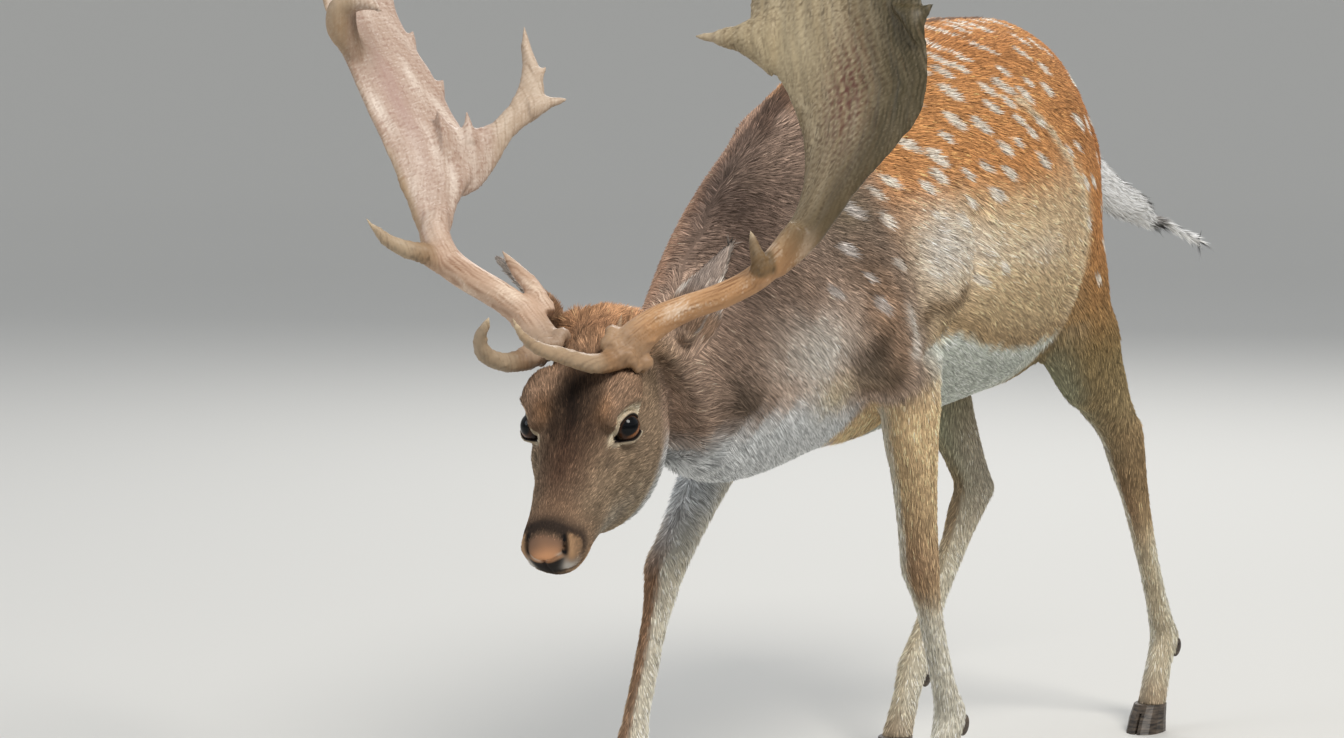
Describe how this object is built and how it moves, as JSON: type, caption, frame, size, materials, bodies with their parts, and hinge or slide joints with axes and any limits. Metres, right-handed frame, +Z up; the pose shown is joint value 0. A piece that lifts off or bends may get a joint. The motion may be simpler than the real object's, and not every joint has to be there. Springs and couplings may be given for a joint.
{
  "type": "fallow deer buck",
  "caption": "Life-size fallow deer buck in spotted summer coat, walking with its head lowered, palmate antlers spread and tail held out.",
  "frame": {"origin": "on the floor, under the middle of the animal's bounding box", "axes": "+Z up, the deer faces -Y, its left side is +X"},
  "size_m": [0.7004, 1.6457, 1.1154],
  "materials": {
    "face_coat": "short hair",
    "neck_coat": "short hair",
    "flank_coat": "short hair with white spots",
    "leg_coat": "short hair",
    "tail_hair": "longer hair",
    "nose": "bare, damp",
    "eye": "glossy",
    "hoof": "horn",
    "antler_left": "bone, grooved",
    "antler_right": "bone, grooved"
  },
  "bodies": {
    "root": {"head": "face_coat", "nose_pad": "nose", "neck": "neck_coat", "trunk": "flank_coat", "tail": "tail_hair", "foreleg_left": "leg_coat", "hoof_fore_left": "hoof", "foreleg_right": "leg_coat", "hoof_fore_right": "hoof", "hindleg_left": "leg_coat", "hoof_hind_left": "hoof", "hindleg_right": "leg_coat", "hoof_hind_right": "hoof", "eye_left": "eye", "ear_left": "face_coat", "antler_left_beam": "antler_left", "antler_left_palm": "antler_left", "antler_left_brow_tine": "antler_left", "antler_left_trez_tine": "antler_left", "eye_right": "eye", "ear_right": "face_coat", "antler_right_beam": "antler_right", "antler_right_palm": "antler_right", "antler_right_brow_tine": "antler_right", "antler_right_trez_tine": "antler_right", "antler_right_bez_tine": "antler_right", "antler_right_back_tine": "antler_right", "antler_right_back_side_tine": "antler_right"}
  },
  "joints": []
}
